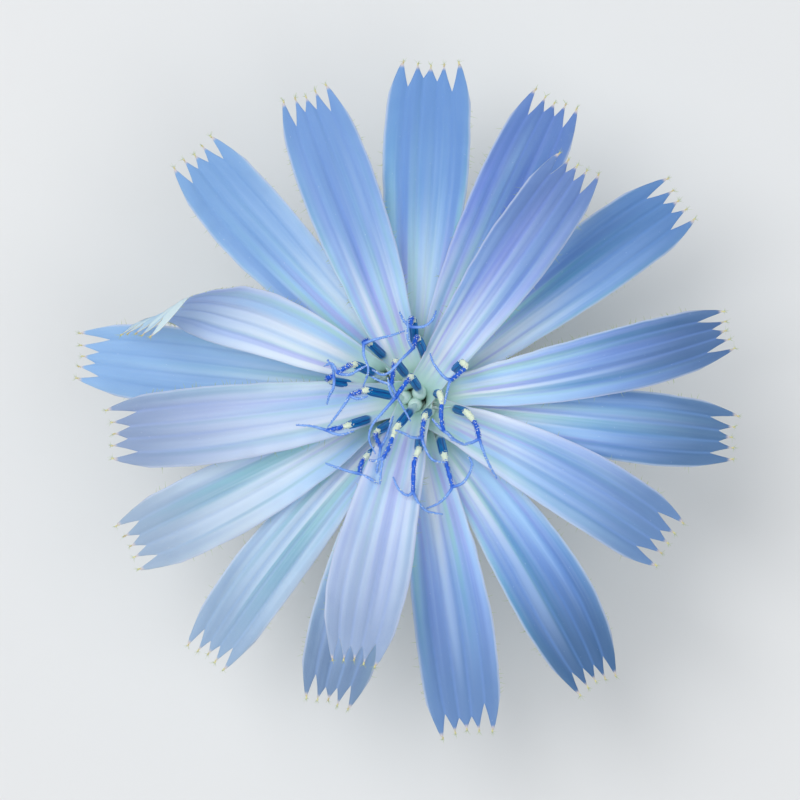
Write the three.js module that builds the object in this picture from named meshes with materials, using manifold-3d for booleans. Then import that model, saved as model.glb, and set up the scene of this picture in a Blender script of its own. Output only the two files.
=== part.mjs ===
// Chicory flower: one picked flower head, standing on its cut stem and its
// spreading outer bracts, face up. Millimetres, +Z up, stem axis on Z.
import * as THREE from "three";
import { mergeVertices } from "three/addons/utils/BufferGeometryUtils.js";
import Module from "manifold-3d";

const wasm = await Module();
wasm.setup();

// ---- driving dimensions ----------------------------------------------------
const CENTRE_OFFSET = [0.35, -0.02]; // moves the head so that its outline is centred
const STEM_RADIUS = 1.9;
const DISC_RADIUS = 2.6; // receptacle that carries the florets
const DISC_HEIGHT = 2.2;

const INNER_BRACTS = 8;
const INNER_BRACT_HEIGHT = 7.3;
const INNER_BRACT_WIDTH = 2.1;
const OUTER_BRACTS = 5;
const OUTER_BRACT_WIDTH = 3.4;
const BRACT_THICKNESS = 0.3;

const FLORET_FOOT_HEIGHT = 2.6; // underside of the seed end, just above the disc
const FOOT_RADIUS = 0.34;
const TUBE_RADIUS = 0.25;
const STRAP_THICKNESS = 0.2;
const STRAP_ROOT_WIDTH = 0.62;
const TEETH = 5;
const TOOTH_LENGTHS = [1.65, 1.15, 0.95, 1.15, 1.65];

const ANTHER_RADIUS = 0.25;
const ANTHER_LENGTH = 3.7;
const COLLAR_RADIUS = 0.19;
const STYLE_RADIUS = 0.13;
const ARM_RADIUS = 0.08;
const ARM_END_RADIUS = 0.05;

// ---- the eighteen florets --------------------------------------------------
// foot: seed end on the disc. throat: where the strap leaves the tube.
// azimuth and reach: middle of the toothed tip, seen from above, from the axis.
// level: height of the throat. rises: height gained by the strap 35 %, 70 % and
// 100 % of the way out. bend: sideways bow. roll: tilt about its own length.
// anther: top of the anther tube. style: points from the collar to the fork.
// arms: the two stigma arms, from the fork outwards.
const LOW = 9.2;
const MIDDLE = 9.8;
const HIGH = 10.4;
const FLORETS = [
  {
    foot: [0.05, 2.05], throat: [0.15, 2.5], azimuth: 86.9, reach: 18.9, width: 4.9, tip: 3.2,
    level: LOW, rises: [1.9, 3.5, 4.5], bend: 0, roll: 0, anther: [0.0, 4.3],
    style: [[-0.08, 4.45, 0.45], [-0.15, 4.0, 0.85]],
    arms: [[[0.6, 4.0, 0.95], [1.1, 4.4, 0.85], [1.3, 4.9, 0.6]], [[-0.5, 4.3, 1.1], [-0.75, 4.8, 0.8]]],
  },
  {
    foot: [0.8, 1.8], throat: [0.8, 1.85], azimuth: 64.4, reach: 18.6, width: 4.2, tip: 2.6,
    level: LOW, rises: [2.25, 4.1, 5.2], bend: 0, roll: 0, anther: [0.3, 3.3],
    style: [[0.2, 3.4, 0.35], [0.0, 2.8, 0.9]],
    arms: [
      [[-0.65, 2.14, 1.75], [-1.3, 1.45, 1.75], [-1.75, 1.3, 1.4], [-2.3, 1.6, 1.0]],
      [[-0.28, 3.3, 1.45], [-0.3, 4.4, 1.5]],
    ],
  },
  {
    foot: [0.5, 0.45], throat: [0.45, 0.42], azimuth: 54.8, reach: 15.9, width: 3.9, tip: 2.6,
    level: HIGH, rises: [2.8, 5.6, 7.4], bend: 0, roll: -12, anther: [-0.1, 1.15],
    style: [[-0.35, 0.92, 0.55], [-1.0, 0.0, 0.9]],
    arms: [[[-1.7, -0.8, 1.0], [-2.3, -1.55, 0.8], [-2.45, -2.3, 0.45], [-2.1, -3.1, 0.2]], [[-1.3, 0.5, 1.3], [-1.4, 1.15, 1.35]]],
  },
  {
    foot: [1.75, 1.1], throat: [1.85, 1.15], azimuth: 36.6, reach: 18.8, width: 3.9, tip: 2.8,
    level: LOW, rises: [1.9, 3.5, 4.4], bend: 0.4, roll: 0, anther: [2.75, 1.95],
    style: [[2.95, 1.75, 0.45], [2.55, 1.35, 0.7], [2.1, 1.0, 0.75]],
    arms: [[[1.78, 1.14, 0.85], [1.4, 1.57, 0.85], [1.12, 2.0, 0.7], [0.95, 2.5, 0.5]], [[1.88, 0.28, 1.25], [1.75, -0.35, 1.7]]],
  },
  {
    foot: [1.3, 0.25], throat: [1.3, 0.28], azimuth: 12.2, reach: 18.1, width: 3.7, tip: 2.2,
    level: MIDDLE, rises: [2.3, 4.2, 5.2], bend: -0.35, roll: -8, anther: [1.48, 0.25],
    style: [[1.6, -0.15, 0.5], [1.56, -0.97, 0.6], [1.68, -1.8, 0.4]],
    arms: [[[1.35, -1.5, 0.5], [1.05, -1.15, 0.45]], [[1.95, -2.0, 0.45], [2.25, -2.35, 0.4], [2.75, -2.5, 0.3]]],
  },
  {
    foot: [1.95, -0.6], throat: [2.0, -0.52], azimuth: -7.0, reach: 18.3, width: 4.1, tip: 2.5,
    level: LOW, rises: [1.8, 3.4, 4.2], bend: 0, roll: 0, anther: [2.95, -0.78],
    style: [[3.3, -1.15, 0.4], [3.55, -1.6, 0.6], [3.7, -2.24, 0.55]],
    arms: [
      [[3.2, -2.52, 0.6], [2.7, -2.55, 0.75], [2.2, -2.2, 0.8], [1.85, -1.85, 0.75]],
      [[3.95, -3.0, 0.5], [4.3, -3.8, 0.3], [4.7, -4.5, 0.0]],
    ],
  },
  {
    foot: [0.95, -0.72], throat: [0.88, -0.74], azimuth: -29.7, reach: 16.6, width: 4.2, tip: 2.9,
    level: MIDDLE, rises: [2.4, 4.3, 4.3], bend: 0.43, roll: 0, anther: [0.68, -0.98],
    style: [[0.58, -1.4, 0.45], [0.48, -2.18, 0.55]],
    arms: [[[0.0, -2.2, 0.85], [-0.55, -1.95, 1.2], [-1.0, -1.78, 1.3]], [[0.7, -2.86, 0.5], [1.1, -3.45, 0.35], [1.86, -3.62, 0.2]]],
  },
  {
    foot: [1.25, -1.6], throat: [1.36, -1.85], azimuth: -57.3, reach: 19.2, width: 4.6, tip: 2.3,
    level: LOW, rises: [1.9, 3.5, 4.3], bend: 0.58, roll: 0, anther: [1.74, -3.15],
    style: [[1.9, -3.8, 0.55], [2.2, -4.93, 0.75]],
    arms: [
      [[2.76, -4.75, 0.85], [3.15, -4.2, 0.85], [3.3, -3.7, 0.75], [3.08, -3.25, 0.6]],
      [[1.85, -5.5, 0.7], [1.4, -5.9, 0.55], [0.75, -6.18, 0.4]],
    ],
  },
  {
    foot: [0.28, -1.75], throat: [0.35, -1.85], azimuth: -80.8, reach: 19.1, width: 4.5, tip: 2.9,
    level: MIDDLE, rises: [1.9, 3.5, 4.3], bend: 0.2, roll: 0, anther: [0.32, -2.85],
    style: [[0.06, -3.6, 0.6], [0.0, -5.2, 0.65]],
    arms: [
      [[-0.28, -5.43, 0.7], [-0.78, -5.1, 0.75], [-1.12, -4.4, 0.65]],
      [[0.28, -5.8, 0.5], [0.75, -6.3, 0.2], [1.65, -6.5, -0.05]],
    ],
  },
  {
    foot: [0.1, -0.55], throat: [0.08, -0.58], azimuth: -102.7, reach: 15.0, width: 4.5, tip: 2.4,
    level: HIGH, rises: [3.4, 6.6, 8.3], bend: -0.3, roll: 0, anther: [-0.8, -1.5],
    style: [[-1.06, -1.95, 0.5], [-1.4, -2.86, 0.8], [-1.65, -3.3, 0.85]],
    arms: [[[-1.78, -4.0, 0.85], [-1.85, -4.8, 0.7]], [[-2.1, -3.5, 0.9], [-2.45, -3.45, 0.85]]],
  },
  {
    foot: [-0.68, -1.92], throat: [-0.75, -2.1], azimuth: -105.7, reach: 17.9, width: 4.4, tip: 2.5,
    level: LOW, rises: [1.8, 3.3, 4.1], bend: 0, roll: 0, anther: [-2.5, -3.2],
    style: [[-2.86, -3.6, 0.5], [-3.0, -4.2, 0.85]],
    arms: [[[-3.6, -4.1, 0.9], [-4.2, -3.9, 0.8], [-4.9, -3.66, 0.5]], [[-2.4, -4.5, 1.15], [-1.98, -4.75, 1.45]]],
  },
  {
    foot: [-0.62, -0.98], throat: [-0.65, -1.0], azimuth: -128.6, reach: 18.7, width: 3.8, tip: 2.5,
    level: LOW, rises: [1.9, 3.5, 4.3], bend: -0.47, roll: 0, anther: [-1.95, -1.85],
    style: [[-2.1, -2.1, 0.4], [-1.82, -2.7, 0.6]],
    arms: [[[-1.5, -2.2, 0.8], [-1.3, -1.6, 0.95], [-1.1, -1.0, 1.0]], [[-1.95, -3.6, 0.45], [-2.05, -4.3, 0.2]]],
  },
  {
    foot: [-1.85, -0.9], throat: [-1.9, -0.95], azimuth: -152.4, reach: 18.1, width: 4.3, tip: 2.8,
    level: MIDDLE, rises: [2.0, 3.7, 4.6], bend: 0.23, roll: 0, anther: [-3.55, -1.5],
    style: [[-4.1, -1.66, 0.3], [-4.8, -1.8, 0.4]],
    arms: [[[-5.5, -1.6, 0.45], [-6.55, -1.5, 0.3]], [[-4.1, -2.05, 0.6], [-3.3, -1.85, 0.65]]],
  },
  {
    foot: [-0.75, -0.05], throat: [-0.78, -0.04], azimuth: -173.2, reach: 17.1, width: 4.4, tip: 2.8,
    level: HIGH, rises: [2.2, 4.0, 4.2], bend: 0.2, roll: 0, anther: [-2.55, 0.42],
    style: [[-3.0, 0.35, 0.3], [-3.5, 0.15, 0.4]],
    arms: [[[-3.75, -0.25, 0.45], [-4.25, -0.95, 0.4], [-4.75, -1.6, 0.2]], [[-3.1, -0.05, 0.6], [-2.5, 0.1, 0.65]]],
  },
  {
    foot: [-1.95, 0.4], throat: [-2.1, 0.58], azimuth: 172.8, reach: 19.1, width: 4.2, tip: 2.6,
    level: LOW, rises: [1.3, 2.3, 2.5], bend: 0, roll: 0, anther: [-4.5, 0.95],
    style: [[-4.8, 1.1, 0.5], [-4.45, 1.25, 0.9]],
    arms: [[[-4.5, 1.7, 1.0], [-4.8, 2.15, 0.9]], [[-4.45, 0.6, 0.95], [-4.66, 0.2, 0.85], [-4.84, -0.36, 0.6]]],
  },
  {
    foot: [-1.55, 1.15], throat: [-1.62, 1.12], azimuth: 165, reach: 16.2, width: 4.4, tip: 2.8,
    level: HIGH, rises: [2.4, 4.6, 4.6], bend: 0, roll: 0, anther: [-3.2, 1.85],
    style: [[-3.6, 1.8, 0.4], [-4.2, 1.4, 0.45]],
    arms: [[[-3.56, 1.3, 0.55], [-3.0, 1.6, 0.7], [-2.6, 1.8, 0.7]], [[-4.5, 1.9, 0.3], [-5.0, 1.8, 0.1]]],
    // this strap rises, then its upper margin turns right over
    course: [[-5.6, 3.1, 12.5], [-9.6, 4.9, 13.9], [-12.3, 5.0, 14.7], [-14.2, 4.3, 14.9], [-15.7, 3.4, 14.4]],
    turns: [0, 0, 14, 62, 112, 150],
  },
  {
    foot: [-0.95, 1.85], throat: [-1.25, 2.0], azimuth: 131.9, reach: 18.6, width: 4.4, tip: 2.8,
    level: LOW, rises: [2.0, 3.6, 4.5], bend: 0.33, roll: 0, anther: [-2.4, 3.05],
    style: [[-2.6, 3.2, 0.45], [-2.75, 3.05, 0.8]],
    arms: [
      [[-2.75, 2.4, 0.95], [-2.5, 1.6, 1.0], [-2.8, 0.6, 0.8]],
      [[-2.2, 3.25, 1.0], [-1.2, 3.5, 1.0], [-0.45, 3.75, 0.8]],
    ],
  },
  {
    foot: [-0.2, 1.05], throat: [-0.16, 1.06], azimuth: 109.6, reach: 18.1, width: 4.3, tip: 2.6,
    level: MIDDLE, rises: [2.1, 3.9, 4.9], bend: 0, roll: 0, anther: [-0.95, 2.0],
    style: [[-1.06, 1.8, 0.45], [-1.2, 0.8, 0.55]],
    arms: [[[-1.7, 0.9, 0.6], [-2.35, 1.2, 0.5]], [[-0.84, 0.0, 0.5], [-0.13, -1.3, 0.3]]],
  },
];

// ---- materials -------------------------------------------------------------
function material(colour, roughness) {
  return new THREE.MeshStandardMaterial({ color: colour, roughness, metalness: 0 });
}
const STEM_GREEN = material(0x6f8f4e, 0.6);
const BRACT_GREEN = material(0x7fa35c, 0.6);
const PETAL_BLUE = material(0x8fb6e6, 0.55);
const ANTHER_BLUE = material(0x1f6fa8, 0.5);

// ---- mesh helpers ----------------------------------------------------------
// closed mesh from corner positions and triangles
function meshGeometry(corners, triangles) {
  const geometry = new THREE.BufferGeometry();
  const positions = corners.flatMap((corner) => [corner.x, corner.y, corner.z]);
  geometry.setAttribute("position", new THREE.Float32BufferAttribute(positions, 3));
  geometry.setIndex(triangles);
  return geometry;
}

// skin between successive rings that all have the same number of corners
function skin(rings, capStart, capEnd) {
  const size = rings[0].length;
  const triangles = [];
  for (let ring = 0; ring + 1 < rings.length; ring += 1) {
    for (let side = 0; side < size; side += 1) {
      const next = (side + 1) % size;
      const here = ring * size;
      const beyond = here + size;
      triangles.push(here + side, here + next, beyond + next);
      triangles.push(here + side, beyond + next, beyond + side);
    }
  }
  const last = (rings.length - 1) * size;
  for (let side = 1; side + 1 < size; side += 1) {
    if (capStart) triangles.push(0, side + 1, side);
    if (capEnd) triangles.push(last, last + side, last + side + 1);
  }
  return { corners: rings.flat(), triangles };
}

// ring of corners around a point, counter-clockwise about the direction of travel
function roundRing(centre, direction, radius, sides) {
  const reference = Math.abs(direction.x) < 0.8 ? new THREE.Vector3(1, 0, 0) : new THREE.Vector3(0, 1, 0);
  const first = new THREE.Vector3().crossVectors(direction, reference).normalize();
  const second = new THREE.Vector3().crossVectors(direction, first).normalize();
  return Array.from({ length: sides }, (_, side) => {
    const angle = (side / sides) * 2 * Math.PI;
    return centre.clone()
      .addScaledVector(first, Math.cos(angle) * radius)
      .addScaledVector(second, Math.sin(angle) * radius);
  });
}

// round rod through points, with a radius at each
function rod(points, radii, sides) {
  const rings = points.map((point, index) => {
    const before = points[Math.max(index - 1, 0)];
    const after = points[Math.min(index + 1, points.length - 1)];
    const direction = new THREE.Vector3().subVectors(after, before).normalize();
    return roundRing(point, direction, radii[index], sides);
  });
  const { corners, triangles } = skin(rings, true, true);
  return meshGeometry(corners, triangles);
}

function toSolid(geometry) {
  const bare = geometry.clone();
  bare.deleteAttribute("normal");
  bare.deleteAttribute("uv");
  const merged = mergeVertices(bare, 1e-4);
  return new wasm.Manifold(new wasm.Mesh({
    numProp: 3,
    vertProperties: new Float32Array(merged.attributes.position.array),
    triVerts: new Uint32Array(merged.index.array),
  }));
}

function fromSolid(solid) {
  const mesh = solid.getMesh();
  const geometry = new THREE.BufferGeometry();
  geometry.setAttribute("position", new THREE.BufferAttribute(new Float32Array(mesh.vertProperties), 3));
  geometry.setIndex([...mesh.triVerts]);
  return geometry;
}

function join(geometries) {
  return fromSolid(geometries.map(toSolid).reduce((joined, solid) => joined.add(solid)));
}

// value between the listed [position, value] stops
function between(stops, position) {
  const above = stops.findIndex(([stop]) => stop >= position);
  if (above <= 0) return stops[Math.max(above, 0)][1];
  const [low, lowValue] = stops[above - 1];
  const [high, highValue] = stops[above];
  return lowValue + ((highValue - lowValue) * (position - low)) / (high - low);
}

// ---- straps (ligules) ------------------------------------------------------
// strap width as a share of the greatest width, along the strap
function strapWidth(floret, along) {
  const root = STRAP_ROOT_WIDTH / floret.width;
  const end = floret.tip / floret.width + 0.14;
  const stops = [[0, root], [0.06, root], [0.2, 0.5], [0.4, 0.81], [0.58, 0.98], [0.7, 1], [0.85, 0.93], [1, end]];
  return floret.width * between(stops, along);
}

function strapCourse(floret) {
  const start = new THREE.Vector3(...floret.throat, floret.level);
  if (floret.course) {
    return new THREE.CatmullRomCurve3([start, ...floret.course.map((point) => new THREE.Vector3(...point))]);
  }
  const azimuth = THREE.MathUtils.degToRad(floret.azimuth);
  const end = new THREE.Vector3(Math.cos(azimuth) * floret.reach, Math.sin(azimuth) * floret.reach, 0);
  const sideways = new THREE.Vector3(-Math.sin(azimuth), Math.cos(azimuth), 0);
  const points = [0.35, 0.7, 1].map((share, index) => {
    const point = start.clone().lerp(end, share);
    point.addScaledVector(sideways, floret.bend * 4 * share * (1 - share));
    point.z = floret.level + floret.rises[index];
    return point;
  });
  return new THREE.CatmullRomCurve3([start, ...points]);
}

// across: level direction over the strap's width. up: its upper face.
function strapFrame(course, floret, along) {
  const tangent = course.getTangent(along);
  const across = new THREE.Vector3(-tangent.y, tangent.x, 0).normalize();
  const turn = floret.turns
    ? between(floret.turns.map((angle, index) => [index / (floret.turns.length - 1), angle]), along)
    : floret.roll * along;
  across.applyAxisAngle(tangent, -THREE.MathUtils.degToRad(turn));
  return { tangent, across, up: new THREE.Vector3().crossVectors(tangent, across) };
}

// twelve corners: six over the upper face, then six back under it
function strapSection(centre, frame, width, cup) {
  const corners = [];
  for (const face of [1, -1]) {
    for (let step = 0; step <= TEETH; step += 1) {
      const share = face * (1 - (2 * step) / TEETH);
      corners.push(centre.clone()
        .addScaledVector(frame.across, (share * width) / 2)
        .addScaledVector(frame.up, cup * share * share * (width / 2) + (face * STRAP_THICKNESS) / 2));
    }
  }
  return corners;
}

// the same twelve corners, spread round a tube
function tubeSection(centre, frame, radius) {
  const corners = [];
  for (const face of [1, -1]) {
    for (let step = 0; step <= TEETH; step += 1) {
      const angle = THREE.MathUtils.degToRad((face > 0 ? 15 : 195) + 30 * step);
      corners.push(centre.clone()
        .addScaledVector(frame.across, Math.cos(angle) * radius)
        .addScaledVector(frame.up, Math.sin(angle) * radius));
    }
  }
  return corners;
}

function liguleGeometry(floret) {
  const course = strapCourse(floret);
  const rootFrame = strapFrame(course, floret, 0);
  const outward = new THREE.Vector3(rootFrame.tangent.x, rootFrame.tangent.y, 0).normalize();
  const tubeFrame = { across: rootFrame.across, up: outward.clone().negate() };
  const foot = new THREE.Vector3(...floret.foot, FLORET_FOOT_HEIGHT);
  const throat = course.getPoint(0);
  const tubeTop = new THREE.Vector3(throat.x, throat.y, throat.z - 0.7);
  const seed = [[0, 0.2], [0.06, FOOT_RADIUS], [0.3, FOOT_RADIUS], [0.42, TUBE_RADIUS], [1, TUBE_RADIUS]];
  const rings = seed.map(([share, radius]) => tubeSection(foot.clone().lerp(tubeTop, share), tubeFrame, radius));

  const notch = 1 - Math.max(...TOOTH_LENGTHS) / course.getLength();
  const rows = [0.02, 0.08, 0.18, 0.32, 0.46, 0.6, 0.72, 0.84, notch];
  for (const along of rows) {
    const frame = strapFrame(course, floret, along);
    const cup = 0.45 * (1 - along) ** 3;
    rings.push(strapSection(course.getPoint(along), frame, strapWidth(floret, along), cup));
  }
  const { corners, triangles } = skin(rings, true, false);

  // five teeth close the far end
  const last = (rings.length - 1) * 2 * (TEETH + 1);
  const length = course.getLength();
  for (let tooth = 0; tooth < TEETH; tooth += 1) {
    const reach = notch + TOOTH_LENGTHS[tooth] / length;
    const frame = strapFrame(course, floret, Math.min(reach, 1));
    const share = 1 - (2 * tooth) / (TEETH - 1);
    const centre = course.getPoint(Math.min(reach, 1)).addScaledVector(frame.across, (share * floret.tip) / 2);
    const tip = corners.length;
    corners.push(centre.clone().addScaledVector(frame.up, STRAP_THICKNESS / 2));
    corners.push(centre.clone().addScaledVector(frame.up, -STRAP_THICKNESS / 2));
    const left = last + tooth;
    const right = left + 1;
    const leftUnder = last + 2 * TEETH + 1 - tooth;
    const rightUnder = leftUnder - 1;
    triangles.push(left, right, tip);
    triangles.push(rightUnder, leftUnder, tip + 1);
    triangles.push(right, rightUnder, tip + 1, right, tip + 1, tip);
    triangles.push(leftUnder, left, tip, leftUnder, tip, tip + 1);
  }
  return meshGeometry(corners, triangles);
}

// ---- anther tube, pollen collar, style and stigma arms ----------------------
function stamensGeometry(floret) {
  const course = strapCourse(floret);
  const frame = strapFrame(course, floret, 0.02);
  const base = course.getPoint(0.02).addScaledVector(frame.up, 0.3);
  const top = new THREE.Vector3(...floret.anther, 0);
  const lean = Math.hypot(top.x - base.x, top.y - base.y);
  top.z = base.z + Math.sqrt(ANTHER_LENGTH ** 2 - lean ** 2);
  const raised = ([x, y, z]) => new THREE.Vector3(x, y, top.z + z);
  const collar = raised(floret.style[0]);
  const style = floret.style.slice(1).map(raised);
  const fork = style[style.length - 1];
  const [firstArm, secondArm] = floret.arms.map((arm) => arm.map(raised));

  const anther = rod(
    [base, base.clone().lerp(top, 0.12), base.clone().lerp(top, 0.9), top],
    [0.2, ANTHER_RADIUS * 0.85, ANTHER_RADIUS, ANTHER_RADIUS * 0.8],
    8,
  );
  const stalk = rod(
    [base.clone().lerp(top, 0.9), top, collar, ...style, ...firstArm],
    [
      STYLE_RADIUS, COLLAR_RADIUS, COLLAR_RADIUS,
      ...style.map(() => STYLE_RADIUS),
      ...firstArm.map((_, index) => (index + 1 < firstArm.length ? ARM_RADIUS : ARM_END_RADIUS)),
    ],
    6,
  );
  const arm = rod(
    [fork, ...secondArm],
    [ARM_RADIUS, ...secondArm.map((_, index) => (index + 1 < secondArm.length ? ARM_RADIUS : ARM_END_RADIUS))],
    6,
  );
  return join([anther, stalk, arm]);
}

// ---- bracts ----------------------------------------------------------------
// leaf-like scale through [radius, height, width, side curl] rows at one azimuth
function bractGeometry(rows, azimuth) {
  const points = rows.map(([radius, height]) => new THREE.Vector3(radius, 0, height));
  const rings = rows.map(([, , width, curl], index) => {
    const before = points[Math.max(index - 1, 0)];
    const after = points[Math.min(index + 1, points.length - 1)];
    const along = new THREE.Vector3().subVectors(after, before).normalize();
    const inner = new THREE.Vector3(-along.z, 0, along.x);
    const ring = [];
    for (const face of [1, -1]) {
      for (let step = 0; step <= 4; step += 1) {
        const share = face * (step / 2 - 1);
        ring.push(points[index].clone()
          .add(new THREE.Vector3(0, (-share * width) / 2, 0))
          .addScaledVector(inner, curl * share * share + (face * BRACT_THICKNESS) / 2));
      }
    }
    return ring;
  });
  const { corners, triangles } = skin(rings, true, true);
  const turn = new THREE.Matrix4().makeRotationZ(azimuth);
  return meshGeometry(corners.map((corner) => corner.applyMatrix4(turn)), triangles);
}

function innerBractGeometry(index) {
  const wide = INNER_BRACT_WIDTH;
  const foot = DISC_RADIUS + 0.25;
  const rows = [
    [foot, 1.75, wide * 0.7, 0.12],
    [foot + 0.12, 3.2, wide, 0.2],
    [foot + 0.15, 5.4, wide * 0.95, 0.18],
    [foot + 0.12, 7.2, wide * 0.75, 0.12],
    [foot + 0.15, 8.5, wide * 0.45, 0.06],
    [foot + 0.2, 1.75 + INNER_BRACT_HEIGHT, wide * 0.16, 0.01],
  ];
  const uneven = 0.03 * Math.sin(2.3 * index + 1); // the bracts are not perfectly evenly spaced
  return bractGeometry(rows, ((index + 0.45 + uneven) / INNER_BRACTS) * 2 * Math.PI);
}

function outerBractGeometry(index) {
  const wide = OUTER_BRACT_WIDTH;
  const rows = [
    [2.35, 0.95, wide * 0.5, 0.1],
    [3.3, 1.35, wide * 0.78, 0.18],
    [4.0, 2.3, wide, 0.12],
    [4.75, 2.95, wide * 0.95, 0],
    [5.7, 2.6, wide * 0.75, -0.08],
    [6.35, 1.4, wide * 0.45, -0.06],
    [6.6, 0.15, wide * 0.14, 0],
  ];
  const bract = bractGeometry(rows, ((index + 0.2) / OUTER_BRACTS) * 2 * Math.PI);
  bract.computeBoundingBox();
  return bract.translate(0, 0, -bract.boundingBox.min.z); // its tip rests on the ground
}

// ---- cut stem and receptacle -----------------------------------------------
function receptacleGeometry() {
  const profile = [
    [0, 0], [STEM_RADIUS, 0], [STEM_RADIUS, 0.5], [STEM_RADIUS + 0.05, 1.1],
    [DISC_RADIUS, 1.7], [DISC_RADIUS, DISC_HEIGHT], [DISC_RADIUS * 0.6, DISC_HEIGHT + 0.25], [0, DISC_HEIGHT + 0.3],
  ];
  const lathe = new THREE.LatheGeometry(profile.map(([radius, height]) => new THREE.Vector2(radius, height)), 24);
  return lathe.rotateX(Math.PI / 2);
}

// ---- assembly --------------------------------------------------------------
const flower = new THREE.Group();
flower.position.set(...CENTRE_OFFSET, 0);

function addPiece(name, geometry, finish) {
  const piece = new THREE.Mesh(geometry, finish);
  piece.name = name;
  flower.add(piece);
}

addPiece("receptacle", receptacleGeometry(), STEM_GREEN);
for (let index = 0; index < OUTER_BRACTS; index += 1) {
  addPiece(`outer_bract_${index + 1}`, outerBractGeometry(index), BRACT_GREEN);
}
for (let index = 0; index < INNER_BRACTS; index += 1) {
  addPiece(`inner_bract_${index + 1}`, innerBractGeometry(index), BRACT_GREEN);
}
FLORETS.forEach((floret, index) => {
  const label = String(index + 1).padStart(2, "0");
  addPiece(`floret_${label}_ligule`, liguleGeometry(floret), PETAL_BLUE);
  addPiece(`floret_${label}_stamens`, stamensGeometry(floret), ANTHER_BLUE);
});

export default flower;
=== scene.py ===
import math
import random
from itertools import combinations

import bmesh
import bpy
from mathutils import Matrix, Vector, noise


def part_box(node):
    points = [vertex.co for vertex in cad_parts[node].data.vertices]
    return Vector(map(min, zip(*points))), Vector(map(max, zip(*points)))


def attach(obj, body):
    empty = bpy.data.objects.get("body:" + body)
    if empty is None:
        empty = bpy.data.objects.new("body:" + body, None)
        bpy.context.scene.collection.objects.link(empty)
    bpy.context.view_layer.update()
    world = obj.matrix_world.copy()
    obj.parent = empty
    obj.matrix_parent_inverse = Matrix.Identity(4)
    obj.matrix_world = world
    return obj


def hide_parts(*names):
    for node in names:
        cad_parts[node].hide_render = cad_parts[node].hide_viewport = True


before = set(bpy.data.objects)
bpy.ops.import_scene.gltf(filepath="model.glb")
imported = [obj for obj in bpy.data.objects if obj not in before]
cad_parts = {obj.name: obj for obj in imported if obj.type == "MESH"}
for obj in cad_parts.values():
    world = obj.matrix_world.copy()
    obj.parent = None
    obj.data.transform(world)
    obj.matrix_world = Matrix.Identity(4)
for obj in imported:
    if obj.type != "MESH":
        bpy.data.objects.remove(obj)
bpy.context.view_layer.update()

# Sizes below are in millimetres, about the stem axis, as in the CAD; MM turns them into metres.
MM = 0.001
disc_low, disc_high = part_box("receptacle")
AXIS = Vector(((disc_low.x + disc_high.x) / 2, (disc_low.y + disc_high.y) / 2, 0)) / MM
DISC_RADIUS = (disc_high.x - disc_low.x) / 2 / MM
DISC_TOP = disc_high.z / MM

SHEET_THICKNESS = 0.09
TUBE_RADIUS = 0.27
FOOT_HEIGHT = 2.7
TEETH = 5
LOBES = (-1, -0.56, -0.18, 0.18, 0.56, 1)  # where the pleats between the five teeth run
COLUMNS_PER_TOOTH = 8
NOTCH_DEPTHS = (2.5, 1.75, 1.3, 1.3, 1.75, 2.5)
ANTHER_LENGTH = 3.7
ANTHER_RADIUS = 0.265
COLLAR_RADIUS = 0.19
STYLE_RADIUS = 0.125
ARM_RADIUS = 0.08
LOW, MIDDLE, HIGH = 9.2, 9.8, 10.4
INNER_THROAT = 1.4  # florets whose throats are nearer the axis than this touch in the middle
TEETH_START = 0.8
TIP_DROPS = (0, 0.15, 0.25, 0.15, 0.05)
PLEAT, SWAY, FRILL = 0.085, 0.22, 0.14
TUBE_ROWS, BEND_ROWS, BLADE_ROWS = 9, 12, 62
HAIR_RADIUS, TUBE_HAIR_RADIUS, NUB_HAIR_RADIUS, ARM_HAIR_RADIUS = 0.014, 0.032, 0.012, 0.013
TUBE_HAIRS = 40
NUB_RADIUS = 0.055
COLLAR_SIDES, COLLAR_GRAINS = 14, 150
STYLE_BRISTLES = 230
GLANDS, GLAND_RADIUS, STALK_RADIUS = 26, 0.042, 0.034
INNER_THICKNESS, OUTER_THICKNESS = 0.26, 0.28
KEY_POWER, FILL_POWER, SKY_STRENGTH, LAMP_SIZE = 1.68, 0.62, 0.5, 0.4

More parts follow.
